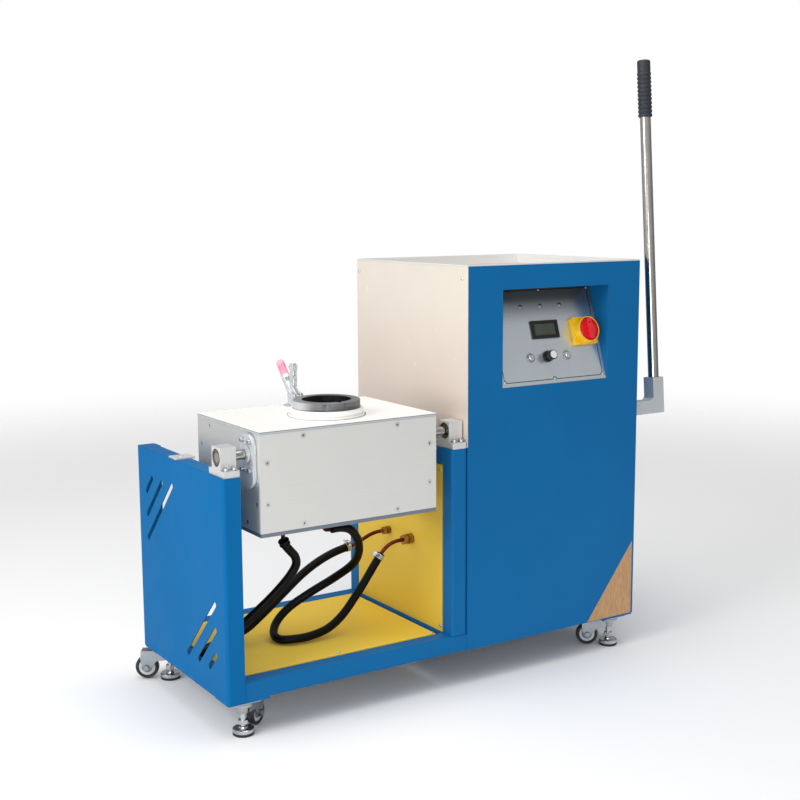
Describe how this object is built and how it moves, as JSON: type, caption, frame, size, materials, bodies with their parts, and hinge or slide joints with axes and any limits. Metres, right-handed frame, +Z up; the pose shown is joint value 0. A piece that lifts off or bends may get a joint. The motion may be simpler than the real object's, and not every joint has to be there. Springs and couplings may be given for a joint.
{
  "type": "tilting electric melting furnace",
  "caption": "Induction furnace with a tilting box, crucible and coil between bearing blocks, tall control cabinet with tray, pouring lever, toggle clamp, water hoses and swivel casters.",
  "frame": {"origin": "on the floor under the middle of the machine's bounding box", "axes": "+X from the open furnace bay towards the cabinet and its lever, +Y from the front to the back, +Z up"},
  "size_m": [1.235, 0.5074, 1.4353],
  "materials": {
    "blue_paint": "semi-gloss",
    "yellow_paint": "semi-gloss",
    "pale_sheet": "satin",
    "box_sheet": "satin",
    "steel": "brushed",
    "chrome": "polished",
    "aluminium": "satin",
    "copper": "satin",
    "brass": "satin",
    "core": "matte",
    "board": "matte",
    "refractory": "matte",
    "graphite": "matte",
    "black_plastic": "gloss",
    "red_plastic": "gloss",
    "switch_yellow": "gloss",
    "grip_rubber": "matte",
    "red_grip": "satin",
    "hose_rubber": "satin",
    "tyre": "matte"
  },
  "bodies": {
    "machine": {"base_rails": "blue_paint", "end_portal": "blue_paint", "middle_portal": "blue_paint", "cabinet_frame": "blue_paint", "end_panel": "blue_paint", "floor_panel": "yellow_paint", "bay_wall": "yellow_paint", "stop_plate": "aluminium", "bearing_blocks": "aluminium", "bearings": "steel", "frame_screws": "steel", "front_panel": "blue_paint", "control_recess": "blue_paint", "control_plate": "steel", "left_panel": "pale_sheet", "right_panel": "blue_paint", "rear_panel": "blue_paint", "top_tray": "steel", "display": "black_plastic", "panel_bezels": "steel", "switch_plate": "switch_yellow", "generator": "aluminium", "transformer": "core", "water_fittings": "brass", "supply_hose": "hose_rubber", "return_hose": "hose_rubber", "hose_clamps": "steel", "caster_plates": "steel"},
    "furnace": {"box_front": "box_sheet", "box_shell": "box_sheet", "top_board": "board", "box_base": "steel", "box_screws": "steel", "refractory_sleeve": "refractory", "crucible": "graphite", "induction_coil": "copper", "tilt_shafts": "steel", "shaft_flanges": "aluminium", "crank_block": "aluminium", "lever_tube": "steel", "lever_grip": "grip_rubber", "clamp_base": "steel"},
    "clamp_bar": {"clamp_bar": "steel"},
    "clamp_handle": {"clamp_handle": "red_grip"},
    "main_switch": {"main_switch": "red_plastic"},
    "power_knob": {"power_knob": "black_plastic"},
    "start_button": {"start_button": "steel"},
    "stop_button": {"stop_button": "steel"},
    "fork_front_left": {"fork_front_left": "steel"},
    "wheel_front_left": {"wheel_front_left": "tyre"},
    "foot_front_left": {"foot_front_left": "chrome"},
    "fork_front_right": {"fork_front_right": "steel"},
    "wheel_front_right": {"wheel_front_right": "tyre"},
    "foot_front_right": {"foot_front_right": "chrome"},
    "fork_back_left": {"fork_back_left": "steel"},
    "wheel_back_left": {"wheel_back_left": "tyre"},
    "foot_back_left": {"foot_back_left": "chrome"},
    "fork_back_right": {"fork_back_right": "steel"},
    "wheel_back_right": {"wheel_back_right": "tyre"},
    "foot_back_right": {"foot_back_right": "chrome"}
  },
  "joints": [
    {"name": "furnace_tilt", "type": "hinge", "parent": "machine", "child": "furnace", "pos_m": [0, -0.21125, 0.59], "axis": [1, 0, 0], "range_deg": [0, 95]},
    {"name": "clamp_bar_swing", "type": "hinge", "parent": "furnace", "child": "clamp_bar", "pos_m": [-0.2935, -0.00625, 0.664], "axis": [1, 0, 0], "range_deg": [0, 90]},
    {"name": "clamp_handle_swing", "type": "hinge", "parent": "furnace", "child": "clamp_handle", "pos_m": [-0.2935, 0.01575, 0.664], "axis": [1, 0, 0], "range_deg": [-47.7, 0]},
    {"name": "main_switch_turn", "type": "hinge", "parent": "machine", "child": "main_switch", "pos_m": [0.36, -0.21018, 0.789], "axis": [0, 0.9511, -0.309], "range_deg": [0, 90]},
    {"name": "power_knob_turn", "type": "hinge", "parent": "machine", "child": "power_knob", "pos_m": [0.2445, -0.22647, 0.73887], "axis": [0, 0.9511, -0.309], "range_deg": [0, 270]},
    {"name": "start_button_press", "type": "slide", "parent": "machine", "child": "start_button", "axis": [0, 0.9511, -0.309], "range_m": [0, 0.0025], "stiffness_N_per_m": 600, "springref_m": -0.001},
    {"name": "stop_button_press", "type": "slide", "parent": "machine", "child": "stop_button", "axis": [0, 0.9511, -0.309], "range_m": [0, 0.0025], "stiffness_N_per_m": 600, "springref_m": -0.001},
    {"name": "swivel_front_left", "type": "hinge", "parent": "machine", "child": "fork_front_left", "pos_m": [-0.5465, -0.21425, 0.06], "axis": [0, 0, 1], "continuous": true},
    {"name": "wheel_spin_front_left", "type": "hinge", "parent": "fork_front_left", "child": "wheel_front_left", "pos_m": [-0.50309, -0.18385, 0.0285], "axis": [-0.5736, 0.8192, 0], "continuous": true},
    {"name": "foot_height_front_left", "type": "slide", "parent": "machine", "child": "foot_front_left", "axis": [0, 0, 1], "range_m": [0, 0.012]},
    {"name": "swivel_front_right", "type": "hinge", "parent": "machine", "child": "fork_front_right", "pos_m": [0.4595, -0.21425, 0.06], "axis": [0, 0, 1], "continuous": true},
    {"name": "wheel_spin_front_right", "type": "hinge", "parent": "fork_front_right", "child": "wheel_front_right", "pos_m": [0.41505, -0.18538, 0.0285], "axis": [-0.5446, -0.8387, 0], "continuous": true},
    {"name": "foot_height_front_right", "type": "slide", "parent": "machine", "child": "foot_front_right", "axis": [0, 0, 1], "range_m": [0, 0.012]},
    {"name": "swivel_back_left", "type": "hinge", "parent": "machine", "child": "fork_back_left", "pos_m": [-0.5465, 0.17175, 0.06], "axis": [0, 0, 1], "continuous": true},
    {"name": "wheel_spin_back_left", "type": "hinge", "parent": "fork_back_left", "child": "wheel_back_left", "pos_m": [-0.59095, 0.20062, 0.0285], "axis": [-0.5446, -0.8387, 0], "continuous": true},
    {"name": "foot_height_back_left", "type": "slide", "parent": "machine", "child": "foot_back_left", "axis": [0, 0, 1], "range_m": [0, 0.012]},
    {"name": "swivel_back_right", "type": "hinge", "parent": "machine", "child": "fork_back_right", "pos_m": [0.4595, 0.17175, 0.06], "axis": [0, 0, 1], "continuous": true},
    {"name": "wheel_spin_back_right", "type": "hinge", "parent": "fork_back_right", "child": "wheel_back_right", "pos_m": [0.50753, 0.19415, 0.0285], "axis": [-0.4226, 0.9063, 0], "continuous": true},
    {"name": "foot_height_back_right", "type": "slide", "parent": "machine", "child": "foot_back_right", "axis": [0, 0, 1], "range_m": [0, 0.012]}
  ],
  "couplings": [
    {"joint": "clamp_handle_swing", "follows": "clamp_bar_swing", "ratio": -0.53}
  ]
}
